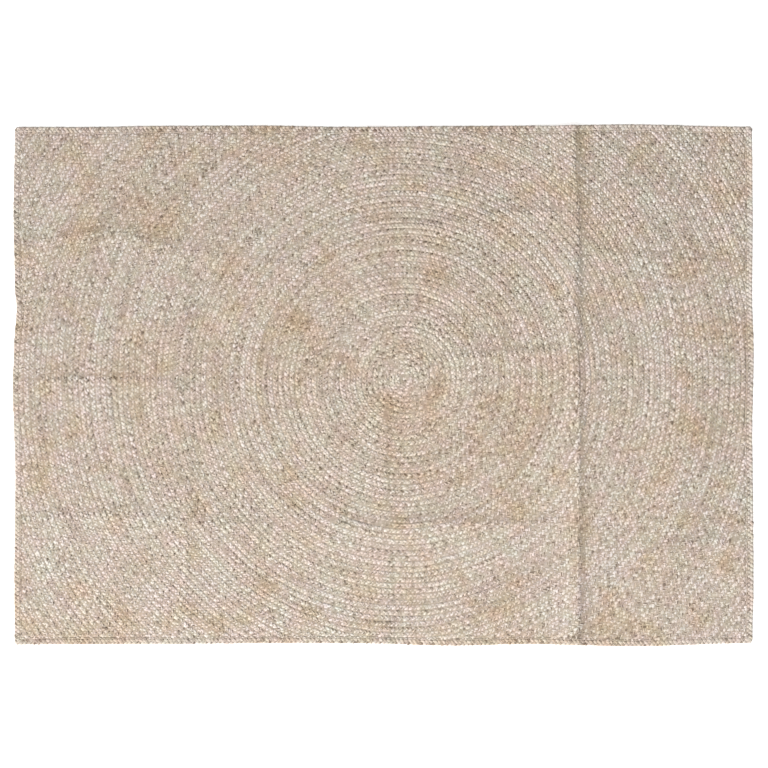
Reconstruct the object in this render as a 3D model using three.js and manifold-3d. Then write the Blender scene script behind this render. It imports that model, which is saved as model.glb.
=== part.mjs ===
// Rectangular jute rug: a flat braid coiled round a start near the middle, sewn turn to turn, cut to a
// rectangle and bordered by one more length of the same braid.
// Millimetres, +Z up. The rug lies on z = 0, its long side runs along X, and the origin is under its middle.

import * as THREE from 'three';
import { mergeVertices } from 'three/addons/utils/BufferGeometryUtils.js';
import Module from 'manifold-3d';

// Driving dimensions
const rugLength = 2300;
const rugWidth = 1616;
const cornerRadius = 14;
const braidWidth = 17;
const braidThickness = 9;
const seamDepth = 2.6;
const borderWidth = 16.5;
const pieceGap = 0.3;

// The coil starts a little to the right of the middle and above it, and each turn moves back by a share of its
// radius.
const coilStart = { x: 70, y: 21 };
const coilDrift = { x: -0.016, y: -0.006 };

// How finely the curves are cut: the longest step along a turn, along the border and round a corner.
const turnStep = 128;
const fewestTurnSteps = 12;
const borderStep = 46;
const cornerSteps = 3;
const innerCornerRadius = 2;

// Faces that the cut leaves thinner than this are closed up.
const sliverSize = 0.05;

// The rug was folded in four each way, and the folds stay as low ridges. Each row is how high one crest stands
// and the line that it follows, from left to right or from the far side to the near one.
const folds = [
  {
    name: 'right column', high: 12,
    line: [[591, 820], [603, 490], [599, 300], [609, -80], [606, -400], [608, -820]],
  },
  { name: 'left column, upper', high: 4.6, line: [[-604, 430], [-622, 250], [-604, 60], [-590, -110]] },
  { name: 'left column, lower', high: 5, line: [[-614, -170], [-609, -290], [-613, -820]] },
  { name: 'middle column, top', high: 4.2, line: [[-10, 820], [1, 590], [-6, 480]] },
  { name: 'middle column, upper', high: 4.5, line: [[0, 320], [10, 270], [1, 200]] },
  { name: 'middle column, lower', high: 5, line: [[6, -120], [4, -260], [10, -500], [9, -820]] },
  {
    name: 'upper row, left', high: 5.6,
    line: [[-1020, 461], [-820, 476], [-740, 446], [-600, 416], [-520, 411]],
  },
  { name: 'upper row, left end', high: 4.4, line: [[-400, 372], [-340, 382], [-270, 380]] },
  { name: 'upper row, middle', high: 9, line: [[-10, 476], [90, 499], [190, 498], [280, 531], [540, 543]] },
  { name: 'upper row, right', high: 5, line: [[625, 455], [680, 423], [800, 396], [1000, 388]] },
  { name: 'middle row, left', high: 5.6, line: [[-1060, 18], [-960, 20], [-700, 16], [-640, -2]] },
  { name: 'middle row, middle', high: 6.5, line: [[80, 22], [110, 56], [200, 89], [350, 99], [545, 109]] },
  { name: 'lower row, left', high: 5.5, line: [[-1040, -409], [-800, -397], [-570, -427], [-460, -429]] },
  {
    name: 'lower row, middle', high: 8,
    line: [[-90, -431], [-20, -441], [150, -429], [420, -434], [540, -415]],
  },
  { name: 'lower arc', high: 5.5, line: [[240, -662], [400, -614], [510, -554], [590, -488]] },
  { name: 'lower row, right', high: 5.6, line: [[850, -510], [960, -490], [1040, -484]] },
  { name: 'lower row, right end', high: 6, line: [[1050, -575], [1140, -525]] },
  { name: 'left of the start', high: 4, line: [[-139, 65], [-139, -50]] },
  { name: 'far left', high: 3.5, line: [[-879, 180], [-884, 0]] },
];

// How far from its crest a fold has sunk to a third: far on the left and near side, close on the other, where
// the slope has points of its own.
const gentleReach = 70;
const steepReach = 26;

// The border wanders. Each row is a place along a side, from 0 at its first corner to 1 at its last, going
// round anticlockwise from the lower left corner, and how far the side stands out there.
const wander = {
  bottom: [
    { at: 0.0, out: 0 }, { at: 0.15, out: -1.6 }, { at: 0.28, out: -2.6 }, { at: 0.34, out: -5 },
    { at: 0.47, out: -3.8 }, { at: 0.6, out: 3.6 }, { at: 0.7, out: -1.8 }, { at: 0.84, out: 5.4 },
    { at: 1.0, out: -4 },
  ],
  right: [
    { at: 0.0, out: -0.6 }, { at: 0.1, out: 2.4 }, { at: 0.24, out: 2.2 }, { at: 0.41, out: -1 },
    { at: 0.56, out: 3.6 }, { at: 0.68, out: -1.6 }, { at: 0.82, out: 0.6 }, { at: 1.0, out: -1.6 },
  ],
  top: [
    { at: 0.0, out: -2.2 }, { at: 0.17, out: 5 }, { at: 0.28, out: 1 }, { at: 0.4, out: 0 },
    { at: 0.55, out: -2.8 }, { at: 0.67, out: 1.6 }, { at: 0.8, out: 0.4 }, { at: 0.92, out: -3.6 },
    { at: 1.0, out: -3 },
  ],
  left: [
    { at: 0.0, out: -1.4 }, { at: 0.16, out: 3.4 }, { at: 0.3, out: -0.8 }, { at: 0.35, out: -6.4 },
    { at: 0.42, out: 1 }, { at: 0.49, out: 5.4 }, { at: 0.68, out: -2.6 }, { at: 0.88, out: 0.6 },
    { at: 1.0, out: 0 },
  ],
};

// The rows above, with a smooth step from each to the next.
function standOut(rows, at) {
  let i = 0;
  while (i < rows.length - 2 && at > rows[i + 1].at) {
    i += 1;
  }
  const share = THREE.MathUtils.smoothstep(at, rows[i].at, rows[i + 1].at);
  return THREE.MathUtils.lerp(rows[i].out, rows[i + 1].out, share);
}

// Height that the folds add at a point of the top face.
function foldHeight(x, y) {
  let height = 0;
  for (const fold of folds) {
    let nearest = { away: Infinity };
    for (let i = 0; i < fold.line.length - 1; i += 1) {
      const place = placeBy(fold.line[i], fold.line[i + 1], x, y);
      if (place.away < nearest.away) {
        nearest = place;
      }
    }
    const reach = nearest.side > 0 ? steepReach : gentleReach;
    height = Math.max(height, fold.high * Math.exp(-nearest.away / reach));
  }
  return height;
}

// Where a point lies by one stretch of a fold: how far from it, how far off its line on the steep side, and how
// far along it, from 0 to 1.
function placeBy([x1, y1], [x2, y2], x, y) {
  const dx = x2 - x1;
  const dy = y2 - y1;
  const length = Math.hypot(dx, dy);
  const along = ((x - x1) * dx + (y - y1) * dy) / length ** 2;
  const held = THREE.MathUtils.clamp(along, 0, 1);
  const side = ((y - y1) * dx - (x - x1) * dy) / length;
  return { along, side, away: Math.hypot(x - x1 - held * dx, y - y1 - held * dy) };
}

// Outline of the rug, drawn in by inset. Every outline has the same number of points, at matching places.
function outline(inset) {
  const radius = Math.max(cornerRadius - inset, innerCornerRadius);
  const right = rugLength / 2 - inset;
  const top = rugWidth / 2 - inset;
  const out = (side, at) => standOut(wander[side], at);
  const corners = [
    { x: -right - out('left', 1), y: -top - out('bottom', 0), from: 180, sx: 1, sy: 1 },
    { x: right + out('right', 0), y: -top - out('bottom', 1), from: 270, sx: -1, sy: 1 },
    { x: right + out('right', 1), y: top + out('top', 0), from: 0, sx: -1, sy: -1 },
    { x: -right - out('left', 0), y: top + out('top', 1), from: 90, sx: 1, sy: -1 },
  ];
  const arcs = corners.map((corner) => {
    const arc = [];
    for (let i = 0; i <= cornerSteps; i += 1) {
      const angle = THREE.MathUtils.degToRad(corner.from + (90 * i) / cornerSteps);
      const centreX = corner.x + corner.sx * radius;
      const centreY = corner.y + corner.sy * radius;
      arc.push(new THREE.Vector2(centreX + radius * Math.cos(angle), centreY + radius * Math.sin(angle)));
    }
    return arc;
  });
  const sides = [
    { name: 'bottom', nx: 0, ny: -1, length: rugLength },
    { name: 'right', nx: 1, ny: 0, length: rugWidth },
    { name: 'top', nx: 0, ny: 1, length: rugLength },
    { name: 'left', nx: -1, ny: 0, length: rugWidth },
  ];
  const points = [];
  sides.forEach((side, i) => {
    const start = arcs[i][cornerSteps];
    const end = arcs[(i + 1) % 4][0];
    const startOut = out(side.name, 0);
    const endOut = out(side.name, 1);
    const steps = Math.round(side.length / borderStep);
    points.push(...arcs[i]);
    for (let k = 1; k < steps; k += 1) {
      const at = k / steps;
      const extra = out(side.name, at) - THREE.MathUtils.lerp(startOut, endOut, at);
      const point = start.clone().lerp(end, at);
      points.push(new THREE.Vector2(point.x + side.nx * extra, point.y + side.ny * extra));
    }
  });
  return points;
}

// One closed mesh from a list of [x, y, z] points and a list of triangles.
function closedGeometry(points, triangles) {
  const geometry = new THREE.BufferGeometry();
  geometry.setAttribute('position', new THREE.Float32BufferAttribute(points.flat(), 3));
  geometry.setIndex(triangles.flat());
  return geometry;
}

// The coil's top face is drawn by spiral lines, a crest and a seam by turns, half a braid apart. Line number
// line runs once round, and the line two further on takes it up where it ends.
function spiralRadius(line, angle) {
  return braidWidth * (line / 2 + angle / (2 * Math.PI));
}

function spiralPoint(line, angle) {
  const radius = spiralRadius(line, angle);
  return {
    x: coilStart.x + radius * (coilDrift.x + Math.cos(angle)),
    y: coilStart.y + radius * (coilDrift.y + Math.sin(angle)),
  };
}

// Angles at which a line crosses the folds, at the crest and on the steep slope.
function foldCrossings(line) {
  const fine = 360;
  const crossings = [];
  const addCrossings = (start, end, aside) => {
    let last = null;
    for (let i = 0; i <= fine; i += 1) {
      const angle = (2 * Math.PI * i) / fine;
      const point = spiralPoint(line, angle);
      const place = placeBy(start, end, point.x, point.y);
      const side = place.side - aside;
      if (last && last.side * side < 0 && place.along > 0 && place.along < 1) {
        crossings.push(last.angle + ((angle - last.angle) * last.side) / (last.side - side));
      }
      last = { angle, side };
    }
  };
  for (const fold of folds) {
    for (let i = 0; i < fold.line.length - 1; i += 1) {
      addCrossings(fold.line[i], fold.line[i + 1], 0);
      addCrossings(fold.line[i], fold.line[i + 1], steepReach);
    }
  }
  return crossings;
}

// Angles of a line's points: the folds' crossings, and even steps where there are none near by.
function lineAngles(line) {
  const radius = spiralRadius(line, Math.PI);
  const steps = Math.max(fewestTurnSteps, Math.round((2 * Math.PI * radius) / turnStep));
  const room = (0.45 * 2 * Math.PI) / steps;
  const crossings = [];
  for (const angle of foldCrossings(line).sort((a, b) => a - b)) {
    const clear = angle - (crossings.at(-1) ?? 0) > room / 8 && 2 * Math.PI - angle > room / 8;
    if (clear) {
      crossings.push(angle);
    }
  }
  const angles = [0, 2 * Math.PI, ...crossings];
  for (let i = 1; i < steps; i += 1) {
    const angle = (2 * Math.PI * i) / steps;
    if (crossings.every((crossing) => Math.abs(crossing - angle) > room)) {
      angles.push(angle);
    }
  }
  return angles.sort((a, b) => a - b);
}

// Triangles of the strip between two lines, each a list of { angle, id } in order.
function strip(inner, outer, triangles) {
  let i = 0;
  let o = 0;
  while (i < inner.length - 1 || o < outer.length - 1) {
    const innerNext = i < inner.length - 1 ? inner[i + 1].angle : Infinity;
    const outerNext = o < outer.length - 1 ? outer[o + 1].angle : Infinity;
    if (innerNext <= outerNext) {
      triangles.push([inner[i].id, outer[o].id, inner[i + 1].id]);
      i += 1;
    } else {
      triangles.push([inner[i].id, outer[o].id, outer[o + 1].id]);
      o += 1;
    }
  }
}

// A round coil, larger than the rug: ribs above, flat below.
function ribbedCoil() {
  const reach = Math.hypot(rugLength / 2 + Math.abs(coilStart.x), rugWidth / 2 + Math.abs(coilStart.y));
  const lineCount = 2 * Math.ceil(reach / braidWidth + 2);
  const points = [];
  const triangles = [];
  const lines = [];
  for (let line = 0; line <= lineCount; line += 1) {
    const crest = line % 2 === 0;
    const level = crest ? braidThickness : braidThickness - seamDepth;
    const angles = lineAngles(line);
    lines.push(angles.map((angle, i) => {
      if (i === 0 && line >= 2) {
        return { angle, id: lines[line - 2].at(-1).id };
      }
      const { x, y } = spiralPoint(line, angle);
      points.push([x, y, level + foldHeight(x, y)]);
      return { angle, id: points.length - 1 };
    }));
  }
  // Inside the first turn the top is a fan round the coil's start.
  const first = lines[0];
  for (let i = 1; i < first.length - 1; i += 1) {
    triangles.push([first[0].id, first[i].id, first[i + 1].id]);
  }
  triangles.push([first[0].id, first.at(-1).id, lines[1][0].id]);
  for (let line = 0; line < lineCount; line += 1) {
    strip(lines[line], lines[line + 1], triangles);
  }
  // The rim is the last line, with one step inward where it has come round.
  const rim = [...lines[lineCount], lines[lineCount - 1].at(-1)].map((point) => point.id);
  const below = rim.map((id) => {
    points.push([points[id][0], points[id][1], 0]);
    return points.length - 1;
  });
  // The underside's fan has its middle beside the start, from where the whole rim is in sight.
  points.push([coilStart.x, coilStart.y - braidWidth, 0]);
  const middle = points.length - 1;
  rim.forEach((id, i) => {
    const next = (i + 1) % rim.length;
    triangles.push([id, below[i], rim[next]]);
    triangles.push([below[i], below[next], rim[next]]);
    triangles.push([middle, below[next], below[i]]);
  });
  return closedGeometry(points, triangles);
}

// An upright block with the given outline, taller than the rug.
function outlineBlock(points) {
  const shape = new THREE.Shape(points);
  const overhang = 10;
  const height = braidThickness + 3 * overhang;
  const geometry = new THREE.ExtrudeGeometry(shape, { depth: height, bevelEnabled: false });
  return geometry.translate(0, 0, -overhang);
}

const wasm = await Module();
wasm.setup();

function toSolid(geometry) {
  const bare = geometry.clone();
  bare.deleteAttribute('normal');
  bare.deleteAttribute('uv');
  const merged = mergeVertices(bare, 1e-4);
  return new wasm.Manifold(new wasm.Mesh({
    numProp: 3,
    vertProperties: new Float32Array(merged.attributes.position.array),
    triVerts: new Uint32Array(merged.index.array),
  }));
}

function fromSolid(solid) {
  const mesh = solid.getMesh();
  const geometry = new THREE.BufferGeometry();
  geometry.setAttribute('position', new THREE.BufferAttribute(mesh.vertProperties, 3));
  geometry.setIndex(new THREE.BufferAttribute(mesh.triVerts, 1));
  geometry.computeVertexNormals();
  return geometry;
}

function namedMesh(name, geometry, color) {
  const material = new THREE.MeshStandardMaterial({ color, roughness: 0.95, metalness: 0 });
  const mesh = new THREE.Mesh(geometry, material);
  mesh.name = name;
  return mesh;
}

// Field: the coil cut to the rectangle inside the border.
function coiledField() {
  const cut = outlineBlock(outline(borderWidth + pieceGap));
  const field = toSolid(ribbedCoil()).intersect(toSolid(cut)).simplify(sliverSize);
  return namedMesh('coiled_field', fromSolid(field), 0xc7b8a9);
}

// Border: a braid of rounded section laid round the field, flat below. Each row of its section is a place
// across the braid, from 0 outside to 1 inside, and a height as a share of the braid's thickness.
const borderSection = [
  { across: 0.2, up: 0 },
  { across: 0, up: 0.3 },
  { across: 0, up: 0.66 },
  { across: 0.2, up: 0.93 },
  { across: 0.5, up: 1 },
  { across: 0.8, up: 0.93 },
  { across: 1, up: 0.66 },
  { across: 1, up: 0 },
];

function edgeBraid() {
  const outer = outline(0);
  const inner = outline(borderWidth);
  const points = [];
  const triangles = [];
  const size = borderSection.length;
  outer.forEach((from, station) => {
    for (const row of borderSection) {
      const point = from.clone().lerp(inner[station], row.across);
      const lift = row.up > 0.5 ? foldHeight(point.x, point.y) : 0;
      points.push([point.x, point.y, row.up * braidThickness + lift]);
    }
    const next = ((station + 1) % outer.length) * size;
    for (let i = 0; i < size; i += 1) {
      const a = station * size + i;
      const b = station * size + ((i + 1) % size);
      const c = next + i;
      const d = next + ((i + 1) % size);
      triangles.push([a, c, b], [c, d, b]);
    }
  });
  const geometry = closedGeometry(points, triangles);
  geometry.computeVertexNormals();
  return namedMesh('edge_braid', geometry, 0xc2b29d);
}

const rug = new THREE.Group();
rug.add(coiledField());
rug.add(edgeBraid());

export default rug;
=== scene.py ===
import math

import bpy
import numpy as np
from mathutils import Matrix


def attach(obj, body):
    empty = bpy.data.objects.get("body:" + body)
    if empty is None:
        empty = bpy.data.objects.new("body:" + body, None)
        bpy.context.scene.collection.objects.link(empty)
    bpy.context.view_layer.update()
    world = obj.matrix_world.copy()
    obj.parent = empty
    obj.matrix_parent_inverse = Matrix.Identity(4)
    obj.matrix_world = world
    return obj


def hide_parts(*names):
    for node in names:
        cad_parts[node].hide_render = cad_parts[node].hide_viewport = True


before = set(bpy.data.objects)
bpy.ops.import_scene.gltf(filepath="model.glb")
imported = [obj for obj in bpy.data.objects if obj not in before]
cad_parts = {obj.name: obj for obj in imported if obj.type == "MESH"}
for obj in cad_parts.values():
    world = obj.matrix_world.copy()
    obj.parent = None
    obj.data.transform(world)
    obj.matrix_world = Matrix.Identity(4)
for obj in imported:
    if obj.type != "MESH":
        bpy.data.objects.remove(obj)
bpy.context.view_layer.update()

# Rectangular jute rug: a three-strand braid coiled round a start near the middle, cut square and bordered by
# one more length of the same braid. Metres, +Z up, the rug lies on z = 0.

RANDOM = np.random.default_rng(20)
MM = 0.001

# Driving dimensions, the same as those of the solids.
RUG_LENGTH = 2300 * MM
RUG_WIDTH = 1616 * MM
BRAID_WIDTH = 17 * MM
BRAID_THICKNESS = 9 * MM
BORDER_WIDTH = 16.5 * MM
PIECE_GAP = 0.3 * MM
COIL_START = (70 * MM, 21 * MM)
COIL_DRIFT = (-0.016, -0.006)

# One strand goes from the left edge of the braid to the right one and back in this length of braid.
PLAIT_LENGTH = 39.3 * MM

# Folds, in millimetres, as in the solids: how high each crest stands, and the line that it follows, from left
# to right or from the far side to the near one.
FOLDS = [
    dict(name="right column", high=12,
         line=[(591, 820), (603, 490), (599, 300), (609, -80), (606, -400), (608, -820)]),
    dict(name="left column, upper", high=4.6, line=[(-604, 430), (-622, 250), (-604, 60), (-590, -110)]),
    dict(name="left column, lower", high=5, line=[(-614, -170), (-609, -290), (-613, -820)]),
    dict(name="middle column, top", high=4.2, line=[(-10, 820), (1, 590), (-6, 480)]),
    dict(name="middle column, upper", high=4.5, line=[(0, 320), (10, 270), (1, 200)]),
    dict(name="middle column, lower", high=5, line=[(6, -120), (4, -260), (10, -500), (9, -820)]),
    dict(name="upper row, left", high=5.6,
         line=[(-1020, 461), (-820, 476), (-740, 446), (-600, 416), (-520, 411)]),
    dict(name="upper row, left end", high=4.4, line=[(-400, 372), (-340, 382), (-270, 380)]),
    dict(name="upper row, middle", high=9, line=[(-10, 476), (90, 499), (190, 498), (280, 531), (540, 543)]),
    dict(name="upper row, right", high=5, line=[(625, 455), (680, 423), (800, 396), (1000, 388)]),
    dict(name="middle row, left", high=5.6, line=[(-1060, 18), (-960, 20), (-700, 16), (-640, -2)]),
    dict(name="middle row, middle", high=6.5, line=[(80, 22), (110, 56), (200, 89), (350, 99), (545, 109)]),
    dict(name="lower row, left", high=5.5, line=[(-1040, -409), (-800, -397), (-570, -427), (-460, -429)]),
    dict(name="lower row, middle", high=8,
         line=[(-90, -431), (-20, -441), (150, -429), (420, -434), (540, -415)]),
    dict(name="lower arc", high=5.5, line=[(240, -662), (400, -614), (510, -554), (590, -488)]),
    dict(name="lower row, right", high=5.6, line=[(850, -510), (960, -490), (1040, -484)]),
    dict(name="lower row, right end", high=6, line=[(1050, -575), (1140, -525)]),
    dict(name="left of the start", high=4, line=[(-139, 65), (-139, -50)]),
    dict(name="far left", high=3.5, line=[(-879, 180), (-884, 0)]),
]
# A fold falls away slowly to the left and the near side, and fast to the other, where a share of it drops at
# once. All in millimetres, apart from the share.
GENTLE_REACH = 70
STEEP_REACH = 26
PINCH_REACH = 7
PINCH_SHARE = 0.5
CREST_ROUNDING = 4

# How far each side of the rug stands out, in millimetres: pairs of a place along the side, from 0 to 1 going
# round anticlockwise from the lower left corner, and the distance.
WANDER = dict(
    bottom=[(0, 0), (0.15, -1.6), (0.28, -2.6), (0.34, -5), (0.47, -3.8), (0.6, 3.6), (0.7, -1.8),
            (0.84, 5.4), (1, -4)],
    right=[(0, -0.6), (0.1, 2.4), (0.24, 2.2), (0.41, -1), (0.56, 3.6), (0.68, -1.6), (0.82, 0.6), (1, -1.6)],
    top=[(0, -2.2), (0.17, 5), (0.28, 1), (0.4, 0), (0.55, -2.8), (0.67, 1.6), (0.8, 0.4), (0.92, -3.6),
         (1, -3)],
    left=[(0, -1.4), (0.16, 3.4), (0.3, -0.8), (0.35, -6.4), (0.42, 1), (0.49, 5.4), (0.68, -2.6),
          (0.88, 0.6), (1, 0)],
)


def stand_out(side, at):
    """How far a side stands out at each place along it, with a smooth step from each row to the next."""
    rows = np.array(WANDER[side], float)
    at = np.clip(at, 0, 1)
    i = np.clip(np.searchsorted(rows[:, 0], at, side="right") - 1, 0, len(rows) - 2)
    share = (at - rows[i, 0]) / (rows[i + 1, 0] - rows[i, 0])
    share = share * share * (3 - 2 * share)
    return (rows[i, 1] * (1 - share) + rows[i + 1, 1] * share) * MM


def side_limits(x, y, inset):
    """The rug's outline drawn in by inset, beside each point: lowest x, highest x, lowest y, highest y."""
    across = x / RUG_LENGTH + 0.5
    up = y / RUG_WIDTH + 0.5
    half_length = RUG_LENGTH / 2 - inset
    half_width = RUG_WIDTH / 2 - inset
    return (
        -half_length - stand_out("left", 1 - up),
        half_length + stand_out("right", up),
        -half_width - stand_out("bottom", across),
        half_width + stand_out("top", 1 - across),
    )


def fold_height(x, y):
    """Height that the folds add at each point."""
    height = np.zeros_like(x)
    for fold in FOLDS:
        nearest = np.full_like(x, np.inf)
        on_steep_side = np.zeros(x.shape, bool)
        for (x1, y1), (x2, y2) in zip(fold["line"], fold["line"][1:]):
            dx, dy = x2 - x1, y2 - y1
            from_x, from_y = x / MM - x1, y / MM - y1
            along = np.clip((from_x * dx + from_y * dy) / (dx * dx + dy * dy), 0, 1)
            away = np.hypot(from_x - along * dx, from_y - along * dy)
            on_steep_side = np.where(away < nearest, from_x * dy - from_y * dx < 0, on_steep_side)
            nearest = np.minimum(nearest, away)
        away = np.hypot(nearest, CREST_ROUNDING) - CREST_ROUNDING
        gentle = np.exp(-away / GENTLE_REACH)
        steep = (1 - PINCH_SHARE) * np.exp(-away / STEEP_REACH) + PINCH_SHARE * np.exp(-away / PINCH_REACH)
        height = np.maximum(height, fold["high"] * MM * np.where(on_steep_side, steep, gentle))
    return height


# The turns are laid by hand, so they wander a little: each row is one wave of it, with the direction that the
# wave runs in, its length, how far it moves a turn, and where it starts.
WOBBLES = [
    dict(heading=20, length=230 * MM, shift=0.7 * MM, start=0.1),
    dict(heading=75, length=160 * MM, shift=0.5 * MM, start=0.7),
    dict(heading=130, length=120 * MM, shift=0.45 * MM, start=0.4),
    dict(heading=165, length=85 * MM, shift=0.35 * MM, start=0.2),
    dict(heading=50, length=64 * MM, shift=0.3 * MM, start=0.9),
    dict(heading=105, length=47 * MM, shift=0.25 * MM, start=0.5),
]


def wobble(points):
    """Points moved by the waves of WOBBLES, each across its own heading."""
    moved = points.copy()
    for wave in WOBBLES:
        heading = math.radians(wave["heading"])
        run = points[..., 0] * math.cos(heading) + points[..., 1] * math.sin(heading)
        shift = wave["shift"] * np.sin(2 * math.pi * (run / wave["length"] + wave["start"]))
        moved[..., 0] -= shift * math.sin(heading)
        moved[..., 1] += shift * math.cos(heading)
    return moved


# Camera: straight above, framed as in the photograph, with the rug's edges at the same pixels.
FRAME_PX = 768
RUG_LEFT_PX, RUG_RIGHT_PX = 14.35, 752.55
RUG_TOP_PX, RUG_BOTTOM_PX = 126.0, 644.7
CAMERA_HEIGHT = 7.0
CAMERA_REACH = 50
SENSOR_WIDTH = 0.036

# Lights: a soft key light and a softer window, both from the near left, and an even white surrounding.
KEY = dict(place=(-1.1, -4.0, 5.0), size=2.0, power=269)
WINDOW = dict(place=(-4.6, -3.4, 3.6), strength=2.62, angle=20)
WORLD_STRENGTH = 0.36
FLOOR_SIZE = 12
FLOOR_GLOW = 0.6


def add_camera():
    metres_per_px = RUG_LENGTH / (RUG_RIGHT_PX - RUG_LEFT_PX)
    frame_width = FRAME_PX * metres_per_px
    middle_x = (FRAME_PX - RUG_LEFT_PX - RUG_RIGHT_PX) / 2 * metres_per_px
    middle_y = (RUG_TOP_PX + RUG_BOTTOM_PX - FRAME_PX) / 2 * metres_per_px
    data = bpy.data.cameras.new("camera")
    data.sensor_width = SENSOR_WIDTH / MM
    data.lens = SENSOR_WIDTH * (CAMERA_HEIGHT - BRAID_THICKNESS) / frame_width / MM
    data.clip_end = CAMERA_REACH
    camera = bpy.data.objects.new("camera", data)
    camera.location = (middle_x, middle_y, CAMERA_HEIGHT)
    bpy.context.scene.collection.objects.link(camera)
    bpy.context.scene.camera = camera


def add_area_light(name, place, size, power):
    data = bpy.data.lights.new(name, "AREA")
    data.size = size
    data.energy = power
    light = bpy.data.objects.new(name, data)
    light.location = place
    bpy.context.scene.collection.objects.link(light)
    aim(light)


def add_sun(name, place, strength, angle):
    data = bpy.data.lights.new(name, "SUN")
    data.energy = strength
    data.angle = math.radians(angle)
    light = bpy.data.objects.new(name, data)
    light.location = place
    bpy.context.scene.collection.objects.link(light)
    aim(light)


def aim(light):
    towards = light.constraints.new("TRACK_TO")
    towards.target = MIDDLE
    towards.track_axis = "TRACK_NEGATIVE_Z"
    towards.up_axis = "UP_Y"


def srgb(red, green, blue):
    """A colour as seen on screen, 0 to 255, turned into the numbers that a shader takes."""
    shares = [value / 255 for value in (red, green, blue)]
    return [s / 12.92 if s <= 0.04045 else ((s + 0.055) / 1.055) ** 2.4 for s in shares] + [1]


def new_material(name, roughness):
    material = bpy.data.materials.new(name)
    material.use_nodes = True
    shader = material.node_tree.nodes["Principled BSDF"]
    shader.inputs["Roughness"].default_value = roughness
    shader.inputs["Specular IOR Level"].default_value = 0.25
    return material, material.node_tree, shader


def noise(tree, vector, scale, detail=2.0, rough=0.5):
    node = tree.nodes.new("ShaderNodeTexNoise")
    node.inputs["Scale"].default_value = scale
    node.inputs["Detail"].default_value = detail
    node.inputs["Roughness"].default_value = rough
    tree.links.new(vector, node.inputs["Vector"])
    return node.outputs["Fac"]


def attribute(tree, name):
    node = tree.nodes.new("ShaderNodeAttribute")
    node.attribute_name = name
    return node


def ramp(tree, value, stops):
    node = tree.nodes.new("ShaderNodeValToRGB")
    elements = node.color_ramp.elements
    while len(elements) < len(stops):
        elements.new(0.5)
    for element, (at, colour) in zip(elements, stops):
        element.position = at
        element.color = colour
    tree.links.new(value, node.inputs["Fac"])
    return node.outputs["Color"]


def multiply(tree, first, second, strength=1.0):
    node = tree.nodes.new("ShaderNodeMix")
    node.data_type = "RGBA"
    node.blend_type = "MULTIPLY"
    node.inputs["Factor"].default_value = strength
    tree.links.new(first, node.inputs["A"])
    tree.links.new(second, node.inputs["B"])
    return node.outputs["Result"]


def maths(tree, operation, first, second):
    node = tree.nodes.new("ShaderNodeMath")
    node.operation = operation
    for socket, value in zip(node.inputs, (first, second)):
        if isinstance(value, (int, float)):
            socket.default_value = value
        else:
            tree.links.new(value, socket)
    return node.outputs[0]


STRAND_STOPS = [
    (0.00, srgb(137, 124, 112)),
    (0.50, srgb(217, 205, 195)),
    (1.00, srgb(236, 227, 220)),
]
BORDER_STOPS = [
    (0.00, srgb(134, 120, 108)),
    (0.50, srgb(206, 193, 181)),
    (1.00, srgb(227, 217, 207)),
]
# The base is a darker tan than the strands. This is painted shade for the gaps between the strands, on top of
# the shade that the geometry casts there.
SHADED_BASE_STOPS = [
    (0.20, srgb(152, 138, 123)),
    (0.80, srgb(201, 186, 171)),
]
# The seam over the border's base is a lighter copy of the base's painted shade, so that the seam is painted
# less dark.
SHADED_SEAM_STOPS = [
    (0.20, srgb(164, 150, 135)),
    (0.80, srgb(190, 176, 162)),
]
# Multiplied into the shade: the yarn's own drift from greyish to tan, and faint stains.
YARN_STOPS = [
    (0.0, srgb(250, 253, 255)),
    (0.5, srgb(248, 247, 246)),
    (1.0, srgb(240, 231, 216)),
]
STAIN_STOPS = [
    (0.30, srgb(249, 253, 255)),
    (0.42, srgb(251, 252, 250)),
    (0.50, srgb(252, 250, 251)),
    (0.58, srgb(250, 246, 240)),
    (0.70, srgb(243, 233, 216)),
]
TINT_STOPS = [
    (0.35, srgb(247, 252, 248)),
    (0.65, srgb(253, 248, 252)),
]
# How many stains there are to a metre, how strong they are, and their colours.
STAINS = [(3.2, 0.55, STAIN_STOPS), (9.0, 0.8, STAIN_STOPS), (20.0, 0.9, TINT_STOPS)]


# Noise for the yarns and fibres of a strand, in its own fibre coordinates, and for a base, to a metre: each
# has its scale, and some their detail and roughness.
STRAND_YARNS = (1.0, 0.0)
STRAND_FIBRES = (7.0, 2.0, 0.6)
BASE_TONES = (90.0,)
BASE_YARNS = (200.0,)
BASE_FIBRES = (420.0, 3.0, 0.65)


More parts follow.
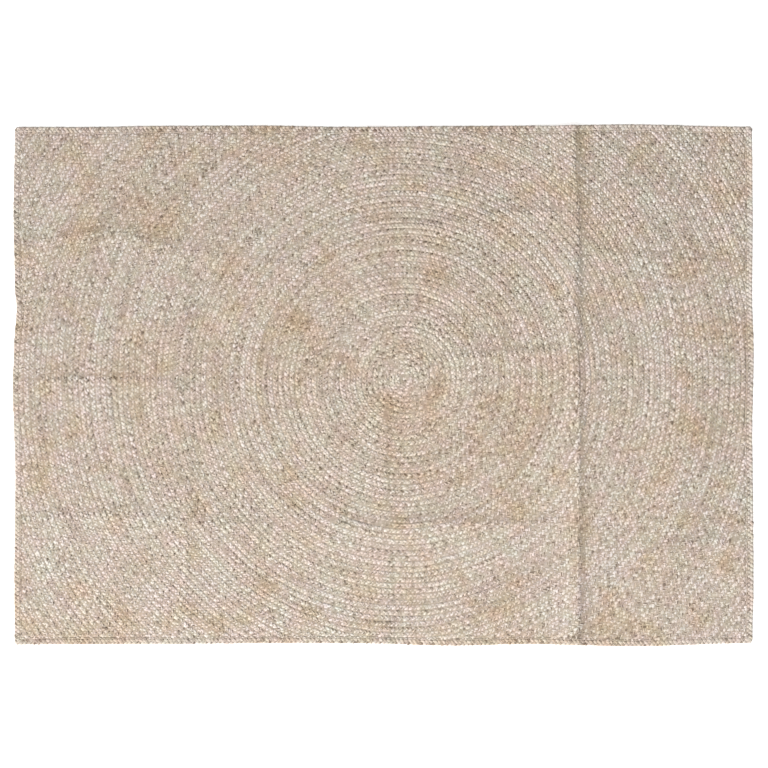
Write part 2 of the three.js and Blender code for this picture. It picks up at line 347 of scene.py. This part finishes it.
def jute(name, stops, yarn_depth, fibre_depth, stranded=True):
    """Jute: on a strand, its own shade, yarns and fibres that run along it, and wide faint stains. On a base,
    which isn't stranded, the shade comes from noise."""
    material, tree, shader = new_material(name, 0.88)
    shader.inputs["Sheen Weight"].default_value = 0.1
    shader.inputs["Sheen Roughness"].default_value = 0.6
    place = tree.nodes.new("ShaderNodeTexCoord").outputs["Object"]
    if stranded:
        tone = attribute(tree, "tone").outputs["Fac"]
        along = attribute(tree, "fibre").outputs["Vector"]
        yarns = noise(tree, along, *STRAND_YARNS)
        fibres = noise(tree, along, *STRAND_FIBRES)
    else:
        tone = noise(tree, place, *BASE_TONES)
        yarns = noise(tree, place, *BASE_YARNS)
        fibres = noise(tree, place, *BASE_FIBRES)
    shade = tone
    for pattern, depth in ((yarns, yarn_depth), (fibres, fibre_depth)):
        change = maths(tree, "MULTIPLY", maths(tree, "SUBTRACT", pattern, 0.5), depth)
        shade = maths(tree, "ADD", shade, change)
    colour = ramp(tree, shade, stops)
    if stranded:
        colour = multiply(tree, colour, ramp(tree, attribute(tree, "yarn").outputs["Fac"], YARN_STOPS))
    for scale, strength, colours in STAINS:
        colour = multiply(tree, colour, ramp(tree, noise(tree, place, scale), colours), strength)
    tree.links.new(colour, shader.inputs["Base Color"])
    bump = tree.nodes.new("ShaderNodeBump")
    bump.inputs["Strength"].default_value = 0.5
    bump.inputs["Distance"].default_value = 0.5 * MM
    tree.links.new(fibres, bump.inputs["Height"])
    tree.links.new(bump.outputs["Normal"], shader.inputs["Normal"])
    return material


def add_piece(name, points, faces, material, attributes=None, uv=None, ridged=None):
    """A mesh object from arrays. attributes maps a name to one number or one vector for each point. ridged
    gives a number for each point: an edge between two points of the same number above 0 is sharp."""
    mesh = bpy.data.meshes.new(name)
    mesh.from_pydata(points, [], faces)
    for key, values in (attributes or {}).items():
        values = np.asarray(values, np.float32)
        kind, field = ("FLOAT", "value") if values.ndim == 1 else ("FLOAT_VECTOR", "vector")
        mesh.attributes.new(key, kind, "POINT").data.foreach_set(field, values.ravel())
    mesh.polygons.foreach_set("use_smooth", [True] * len(mesh.polygons))
    if ridged is not None:
        ends = np.zeros(2 * len(mesh.edges), int)
        mesh.edges.foreach_get("vertices", ends)
        ends = ridged[ends.reshape(-1, 2)]
        mesh.edges.foreach_set("use_edge_sharp", (ends[:, 0] > 0) & (ends[:, 0] == ends[:, 1]))
    if uv is not None:
        mesh.uv_layers.new(name="OFBake").data.foreach_set("uv", np.asarray(uv, np.float32).ravel())
    mesh.materials.append(material)
    mesh.validate()
    piece = bpy.data.objects.new(name, mesh)
    bpy.context.scene.collection.objects.link(piece)
    return piece


# The braid. Across it, a strand swings from edge to edge, and it dips twice for each swing, so that it goes
# over from either edge to the middle and under from there to the other edge.
STRANDS = 3
SWING = 7.0 * MM
RISE = 2.5 * MM
STRAND_HALF_WIDTH = 5.5 * MM
STRAND_HALF_THICKNESS = 1.4 * MM
LEAN = 0.5 * MM
DIP_LAG = math.radians(12)
SIDE_TILT = 0.62
EDGE_ROLL = math.radians(55)
# The sections of a strand in each half swing, in degrees of the whole swing, from the edge of the braid to
# where the strand is under the next one. A section's corners are in half widths and half thicknesses.
FIELD_SECTIONS = [-5, 25, 62, 112]
FIELD_PROFILE = [(0, 1), (-1, -0.45), (1, -0.45)]
BORDER_SECTIONS = [-10, 8, 25, 44, 62, 84, 110, 140]
BORDER_PROFILE = [(0, 1), (-0.62, 0.68), (-1, -0.25), (0, -0.9), (1, -0.25), (0.62, 0.68)]


def strand_sections(phase, edge_roll):
    """For each section of a strand: its place across and above the braid's middle line, how far it is
    carried forward along it, and the section's width and thickness directions (across, along, up)."""
    across = -SWING * np.cos(phase)
    up = RISE * np.sin(2 * (phase - DIP_LAG))
    forward = LEAN * np.cos(2 * phase)
    roll = edge_roll * np.cos(phase) ** 3
    none = np.zeros_like(phase)
    thick = np.stack([-np.sin(roll), none, np.cos(roll)], 1)
    tilt = -SIDE_TILT * np.sin(phase)
    wide = np.stack([tilt, np.sqrt(1 - tilt**2), none], 1)
    return across, up, forward, wide, thick


def drift(at, step, count=1):
    """Slow random changes along a length: normal values, each set step after the last, with smooth steps."""
    knots = RANDOM.normal(0, 1, (count, int(at.max() / step) + 3))
    place = np.clip(at / step, 0, knots.shape[1] - 2)
    before = place.astype(int)
    share = place - before
    share = share * share * (3 - 2 * share)
    return knots[:, before] * (1 - share) + knots[:, before + 1] * share


# How unevenly a strand lies: the spread of its sections' places aside and ahead, of each lobe's height, and
# of the sections' sizes.
ASIDE_SPREAD = 0.5 * MM
AHEAD_SPREAD = 0.8 * MM
LIFT_SPREAD = 0.35 * MM
SIZE_SPREAD = 0.12

# The spread of the shades, and the lengths of braid over which they change: along each edge of a strand, from
# lobe to lobe, and along the whole strand.
STRAND_TONES = 0.20
STRAND_TONE_STEP = 1.3
LOBE_TONES = 0.14
DRIFT_TONES = 0.06
DRIFT_TONE_STEP = 0.25

# How tan the yarn is: by lots, more where the shade is dark, and with a wide and a fine change.
LOT_LENGTH = 1.6
LOT_SPREAD = 0.7
LOT_SHARE = 0.13
TAN_SHARE = 0.18
WIDE_TAN, WIDE_TAN_STEP = 0.09, 0.9
FINE_TAN, FINE_TAN_STEP = 0.04, 0.2
# The lots within this distance of the start are a little more tan than the rest.
TAN_REACH = 760 * MM
INNER_TAN = 1.6

# Fibre coordinates: one unit for this length of braid, so many from the middle of a strand to its side and to
# its ridge, and so many from one edge or strand to the next, which keeps their yarns apart.
FIBRE_LENGTH = 150 * MM
FIBRE_SIDE = 1.4
FIBRE_RIDGE = 1.2
EDGE_OFFSET = 5
STRAND_OFFSET = 17


def plait_strand(path, length, sections, profile, strand, lots, edge_roll, squeeze=1.0):
    """Rings of points along one strand of a braid that follows a path. path(s) gives, for each length along
    it, a point, the direction along and the direction across. lots holds how tan the yarn of the whole braid
    is after each lot's length."""
    half_swings = 2 * round(length / PLAIT_LENGTH)
    plait_length = 2 * length / half_swings
    lobe = np.repeat(np.arange(half_swings), len(sections))
    phase = math.pi * lobe + np.radians(np.tile(sections, half_swings))
    at = plait_length * (phase / (2 * math.pi) + strand / STRANDS)
    across, up, forward, wide, thick = strand_sections(phase, edge_roll)
    place, along_dir, across_dir = path(at + forward)
    aside = RANDOM.normal(0, ASIDE_SPREAD, len(phase))
    ahead = RANDOM.normal(0, AHEAD_SPREAD, len(phase))
    lift = RANDOM.normal(0, LIFT_SPREAD, half_swings)[lobe]
    size = 1 + RANDOM.normal(0, SIZE_SPREAD, len(phase))
    centre = place + across_dir * (across * squeeze + aside)[:, None] + along_dir * ahead[:, None]
    height = BRAID_THICKNESS / 2 + up + lift
    rings = []
    for width_share, thickness_share in profile:
        side = wide * STRAND_HALF_WIDTH * width_share + thick * STRAND_HALF_THICKNESS * thickness_share
        side = side * size[:, None]
        xy = centre + across_dir * side[:, :1] * squeeze + along_dir * side[:, 1:2]
        rings.append(np.column_stack([xy, height + side[:, 2]]))
    rings = np.stack(rings, 1)
    at = np.clip(at, 0, None)
    edge = lobe % 2
    tone = STRAND_TONES * drift(at, STRAND_TONE_STEP, 2)[edge, np.arange(len(at))]
    tone += LOBE_TONES * RANDOM.normal(0, 1, half_swings)[lobe] + DRIFT_TONES * drift(at, DRIFT_TONE_STEP)[0]
    yarn = 0.5 + LOT_SHARE * np.interp(at, LOT_LENGTH * np.arange(len(lots)), lots) - TAN_SHARE * tone
    yarn += WIDE_TAN * drift(at, WIDE_TAN_STEP)[0] + FINE_TAN * drift(at, FINE_TAN_STEP)[0]
    shape = np.array(profile)
    # A strand's own shade shows most along its ridge.
    tone = 0.5 + tone[:, None] * np.clip(shape[:, 1], 0.5, 1)
    fibre = np.zeros((*rings.shape[:2], 3))
    fibre[:, :, 0] = (at / FIBRE_LENGTH)[:, None]
    fibre[:, :, 1] = FIBRE_SIDE * shape[:, 0] + EDGE_OFFSET * edge[:, None]
    fibre[:, :, 2] = FIBRE_RIDGE * shape[:, 1] + STRAND_OFFSET * strand
    sides = len(profile)
    values = {
        "tone": tone.ravel(),
        "yarn": np.repeat(yarn, sides),
        "fibre": fibre.reshape(-1, 3),
    }
    return rings, centre, values


def tube_faces(kept, sides, closed=False):
    """Quads from each kept section to the one after it, and an end cap wherever a run starts or stops."""
    section = np.arange(len(kept))
    after = np.roll(section, -1)
    joined = kept.copy()
    if not closed:
        joined[-1] = False
    side = np.arange(sides)
    start = section[joined][:, None] * sides
    end = after[joined][:, None] * sides
    turn = (side + 1) % sides
    quads = np.stack([start + side, start + turn, end + turn, end + side], 2).reshape(-1, 4)
    before = np.roll(joined, 1)
    heads = section[joined & ~before][:, None] * sides + side[::-1]
    tails = section[before & ~joined][:, None] * sides + side
    return quads, np.concatenate([heads, tails])


def face_cells(quads, caps, sides):
    """Each face's own cell in the unit square, as one pair of numbers for each corner of each face. The quads
    of one side of a strand lie in a row."""
    sections = len(quads) // sides
    columns = math.ceil(math.sqrt(len(quads)))
    strand_rows = math.ceil(sections / columns) * sides
    rows = strand_rows + math.ceil(len(caps) / columns)
    section, side = np.divmod(np.arange(len(quads)), sides)
    corner = np.array([(0, 0), (0, 1), (1, 1), (1, 0)])
    cell = np.stack([section % columns, section // columns * sides + side], 1)
    uv = cell[:, None] + corner
    angle = 2 * math.pi * np.arange(caps.shape[1]) / caps.shape[1]
    corner = 0.5 + 0.45 * np.stack([np.cos(angle), np.sin(angle)], 1)
    number = np.arange(len(caps))
    cell = np.stack([number % columns, strand_rows + number // columns], 1)
    cap_uv = cell[:, None] + corner
    return np.concatenate([uv.reshape(-1, 2), cap_uv.reshape(-1, 2)]) / (columns, rows)


TURN_POINTS = 240


def spiral_path(turns):
    """The coil's middle line as a function of the length along it."""
    growth = BRAID_WIDTH / (2 * math.pi)
    angle = np.linspace(0, 2 * math.pi * turns, int(turns * TURN_POINTS))
    length = growth / 2 * (angle * np.sqrt(1 + angle**2) + np.arcsinh(angle))

    def path(at):
        theta = np.interp(at, length, angle)
        radius = growth * theta
        out = np.stack([np.cos(theta), np.sin(theta)], 1)
        forward = np.stack([-np.sin(theta), np.cos(theta)], 1) * radius[:, None] + growth * out
        forward /= np.linalg.norm(forward, axis=1)[:, None]
        right = np.stack([forward[:, 1], -forward[:, 0]], 1)
        middle = np.array(COIL_START) + radius[:, None] * np.array(COIL_DRIFT)
        return middle + radius[:, None] * out, forward, right

    return path, length[-1]


def hold_inside(points, inset):
    """Points brought back to the rug's outline where they pass it."""
    x, y = points[..., 0], points[..., 1]
    low_x, high_x, low_y, high_y = side_limits(x, y, inset)
    held = points.copy()
    held[..., 0] = np.clip(x, low_x, high_x)
    held[..., 1] = np.clip(y, low_y, high_y)
    return held


LOWEST = 0.1 * MM


def settle(rings):
    """Rings of points lifted by the folds, and none of them below the floor."""
    rings[..., 2] += fold_height(rings[..., 0], rings[..., 1])
    rings[..., 2] = np.maximum(rings[..., 2], LOWEST)
    return rings


def add_strand_piece(name, rings, values, kept, material, closed=False, ridged=False):
    """One piece of strand from the kept ones of its rings."""
    sides = rings.shape[1]
    quads, caps = tube_faces(kept, sides, closed)
    used = np.unique(quads)
    renumber = np.zeros(rings.shape[0] * sides, int)
    renumber[used] = np.arange(len(used))
    return add_piece(
        name,
        rings.reshape(-1, 3)[used].tolist(),
        renumber[quads].tolist() + renumber[caps].tolist(),
        material,
        {key: value[used] for key, value in values.items()},
        face_cells(quads, caps, sides),
        used % sides if ridged else None,
    )


def add_coil(material):
    """The field's strands, each in a far and a near half."""
    reach = math.hypot(RUG_LENGTH / 2 + abs(COIL_START[0]), RUG_WIDTH / 2 + abs(COIL_START[1]))
    path, length = spiral_path(reach / BRAID_WIDTH + 2)
    inset = BORDER_WIDTH + PIECE_GAP
    lots = LOT_SPREAD * RANDOM.normal(0, 1, int(length / LOT_LENGTH) + 3)
    radius = np.sqrt(np.arange(len(lots)) * LOT_LENGTH * BRAID_WIDTH / math.pi)
    lots += INNER_TAN * np.exp(-(radius / TAN_REACH) ** 6)
    pieces = []
    for strand in range(STRANDS):
        rings, centre, values = plait_strand(
            path, length, FIELD_SECTIONS, FIELD_PROFILE, strand, lots, EDGE_ROLL,
        )
        rings[..., :2] = wobble(rings[..., :2])
        x, y = wobble(centre).T
        low_x, high_x, low_y, high_y = side_limits(x, y, inset)
        inside = (x > low_x) & (x < high_x) & (y > low_y) & (y < high_y)
        kept = inside | np.roll(inside, -1)
        rings = settle(hold_inside(rings, inset))
        for half, above in (("far", True), ("near", False)):
            chosen = kept & ((y > COIL_START[1]) == above)
            pieces.append(add_strand_piece(
                f"coil_strand_{strand + 1}_{half}", rings, values, chosen, material, ridged=True,
            ))
    return pieces


CORNER_POINTS = 9
SIDE_POINTS = 400


def border_path(inset, radius):
    """The middle line of the border, going round anticlockwise from the lower left corner."""
    right, top = RUG_LENGTH / 2 - inset, RUG_WIDTH / 2 - inset
    out = {side: (float(stand_out(side, 0.0)), float(stand_out(side, 1.0))) for side in WANDER}
    corners = [
        (-right - out["left"][1], -top - out["bottom"][0], 1, 1, 180),
        (right + out["right"][0], -top - out["bottom"][1], -1, 1, 270),
        (right + out["right"][1], top + out["top"][0], -1, -1, 0),
        (-right - out["left"][0], top + out["top"][1], 1, -1, 90),
    ]
    arcs = []
    for x, y, sx, sy, start in corners:
        angle = np.radians(start + np.linspace(0, 90, CORNER_POINTS))
        round_corner = np.stack([sx + np.cos(angle), sy + np.sin(angle)], 1)
        arcs.append(np.array([x, y]) + radius * round_corner)
    points = []
    outward = dict(bottom=(0, -1), right=(1, 0), top=(0, 1), left=(-1, 0))
    for i, side in enumerate(outward):
        start, end = arcs[i][-1], arcs[(i + 1) % 4][0]
        at = np.linspace(0, 1, SIDE_POINTS)[1:-1]
        extra = stand_out(side, at) - (out[side][0] * (1 - at) + out[side][1] * at)
        straight = start + (end - start) * at[:, None]
        points += [arcs[i], straight + np.array(outward[side]) * extra[:, None]]
    points = np.concatenate(points)
    loop = np.concatenate([points, points[:1]])
    length = np.concatenate([[0], np.cumsum(np.linalg.norm(np.diff(loop, axis=0), axis=1))])
    half_step = BRAID_WIDTH / 4

    def place(at):
        at = np.mod(at, length[-1])
        return np.stack([np.interp(at, length, loop[:, 0]), np.interp(at, length, loop[:, 1])], 1)

    def path(at):
        forward = place(at + half_step) - place(at - half_step)
        forward /= np.linalg.norm(forward, axis=1)[:, None]
        return place(at), forward, np.stack([forward[:, 1], -forward[:, 0]], 1)

    return path, length[-1]


BASE_LOW = 2.2 * MM
BASE_HIGH = 6.25 * MM
BORDER_CORNER = 1 * MM
BORDER_ROLL = math.radians(15)
BORDER_OVERHANG = 0.5 * MM
FILL_HALF_WIDTH = 8.2 * MM
FILL_STEP = 12 * MM
# The border's base reaches over the seam, to SEAM_REACH half widths, and stands a little higher there.
SEAM_HIGH = 6.6 * MM
SEAM_REACH = 1.45
SHOULDER_DROP = 0.4 * MM
# Its section: how far out each corner is, in half widths, and its height.
BORDER_BASE_PROFILE = [
    (-1, BASE_LOW),
    (1, BASE_LOW),
    (1, BASE_HIGH - SHOULDER_DROP),
    (0.8, BASE_HIGH),
    (-0.5, BASE_HIGH),
    (-0.9, SEAM_HIGH),
    (-SEAM_REACH, SEAM_HIGH),
    (-1.7, BASE_HIGH),
]


def add_border_base(material):
    """The inside of the border braid, a flat ring that shows in the gaps between its strands."""
    path, length = border_path(BORDER_WIDTH / 2, BORDER_CORNER)
    count = round(length / FILL_STEP)
    place, _, across = path(np.arange(count) * length / count)
    rings = []
    for out, height in BORDER_BASE_PROFILE:
        rings.append(np.column_stack([place + across * FILL_HALF_WIDTH * out, np.full(count, height)]))
    rings = settle(np.stack(rings, 1))
    return add_strand_piece("border_base", rings, {}, np.ones(count, bool), material, closed=True)


def add_border(material):
    """The braid round the edge, each of its three strands in a piece of its own."""
    path, length = border_path(BORDER_WIDTH / 2, BORDER_CORNER)
    half_width = BORDER_WIDTH / 2 + BORDER_OVERHANG
    squeeze = half_width / (SWING + STRAND_HALF_THICKNESS * math.sin(BORDER_ROLL))
    lots = LOT_SPREAD * RANDOM.normal(0, 1, int(length / LOT_LENGTH) + 3)
    pieces = []
    for strand in range(STRANDS):
        rings, _, values = plait_strand(
            path, length, BORDER_SECTIONS, BORDER_PROFILE, strand, lots, BORDER_ROLL, squeeze,
        )
        everywhere = np.ones(len(rings), bool)
        pieces.append(add_strand_piece(
            f"border_strand_{strand + 1}", settle(rings), values, everywhere, material, closed=True,
        ))
    return pieces


BASE_CELL = 15 * MM
# The unit square holds the base's top in its lower part, its underside in the upper part, and its rim between.
FACE_SHARE = 0.48
RIM_LOW, RIM_HIGH = 0.49, 0.51


def add_base(material):
    """The sheet that the turns make together, which shows in the gaps between the strands."""
    columns, rows = round(RUG_LENGTH / BASE_CELL), round(RUG_WIDTH / BASE_CELL)
    inset = BORDER_WIDTH + PIECE_GAP
    share_x = np.linspace(0, 1, columns + 1)
    share_y = np.linspace(0, 1, rows + 1)
    share_x, share_y = np.meshgrid(share_x, share_y, indexing="ij")
    x, y = (share_x - 0.5) * RUG_LENGTH, (share_y - 0.5) * RUG_WIDTH
    low_x, high_x, low_y, high_y = side_limits(x, y, inset)
    x = low_x + (high_x - low_x) * share_x
    y = low_y + (high_y - low_y) * share_y
    lift = fold_height(x, y)
    top = np.stack([x, y, BASE_HIGH + lift], 2).reshape(-1, 3)
    bottom = np.stack([x, y, BASE_LOW + lift], 2).reshape(-1, 3)
    number = np.arange(len(top)).reshape(columns + 1, rows + 1)
    cell = np.stack([number[:-1, :-1], number[1:, :-1], number[1:, 1:], number[:-1, 1:]], 2)
    cell = cell.reshape(-1, 4)
    rim = np.concatenate([number[:, 0], number[-1, 1:], number[-2::-1, -1], number[0, -2:0:-1]])
    after = np.roll(rim, -1)
    wall = np.stack([rim + len(top), after + len(top), after, rim], 1)
    faces = np.concatenate([cell, cell[:, ::-1] + len(top), wall])
    shares = np.stack([share_x, share_y], 2).reshape(-1, 2)
    top_uv = shares[cell] * (1, FACE_SHARE)
    bottom_uv = shares[cell[:, ::-1]] * (1, FACE_SHARE) + (0, 1 - FACE_SHARE)
    at = np.arange(len(rim)) / len(rim)
    width = 1 / len(rim)
    wall_uv = np.array([(0, RIM_LOW), (width, RIM_LOW), (width, RIM_HIGH), (0, RIM_HIGH)])
    wall_uv = wall_uv + np.stack([at, np.zeros_like(at)], 1)[:, None]
    uv = np.concatenate([part.reshape(-1, 2) for part in (top_uv, bottom_uv, wall_uv)])
    points = np.concatenate([top, bottom])
    return add_piece("coil_base", points.tolist(), faces.tolist(), material, uv=uv)


def add_floor():
    mesh = bpy.data.meshes.new("floor")
    half = FLOOR_SIZE / 2
    corners = [(-half, -half, 0), (half, -half, 0), (half, half, 0), (-half, half, 0)]
    mesh.from_pydata(corners, [], [(0, 1, 2, 3)])
    material, _, shader = new_material("floor_paint", 0.9)
    shader.inputs["Base Color"].default_value = (0.93, 0.93, 0.93, 1)
    shader.inputs["Emission Color"].default_value = (1, 1, 1, 1)
    shader.inputs["Emission Strength"].default_value = FLOOR_GLOW
    mesh.materials.append(material)
    floor = bpy.data.objects.new("floor", mesh)
    bpy.context.scene.collection.objects.link(floor)


MIDDLE = bpy.data.objects.new("middle", None)
bpy.context.scene.collection.objects.link(MIDDLE)
add_camera()
add_area_light("key", **KEY)
add_sun("window", **WINDOW)
world = bpy.data.worlds.new("studio")
bpy.context.scene.world = world
world.use_nodes = True
world.node_tree.nodes["Background"].inputs["Color"].default_value = (1, 1, 1, 1)
world.node_tree.nodes["Background"].inputs["Strength"].default_value = WORLD_STRENGTH
bpy.context.scene.view_settings.view_transform = "Standard"
add_floor()

strand_jute = jute("strand_jute", STRAND_STOPS, 3.1, 0.8)
border_jute = jute("border_jute", BORDER_STOPS, 1.6, 0.8)
# The base and the seam carry painted shade: darker jute for the gaps between the strands.
shaded_base_jute = jute("shaded_base_jute", SHADED_BASE_STOPS, 0.3, 0.5, stranded=False)
shaded_seam_jute = jute("shaded_seam_jute", SHADED_SEAM_STOPS, 0.3, 0.5, stranded=False)

base = add_base(shaded_base_jute)
coil = add_coil(strand_jute)
border = [add_border_base(shaded_seam_jute), *add_border(border_jute)]
for piece in [base, *coil, *border]:
    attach(piece, "root")
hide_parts("coiled_field")
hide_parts("edge_braid")
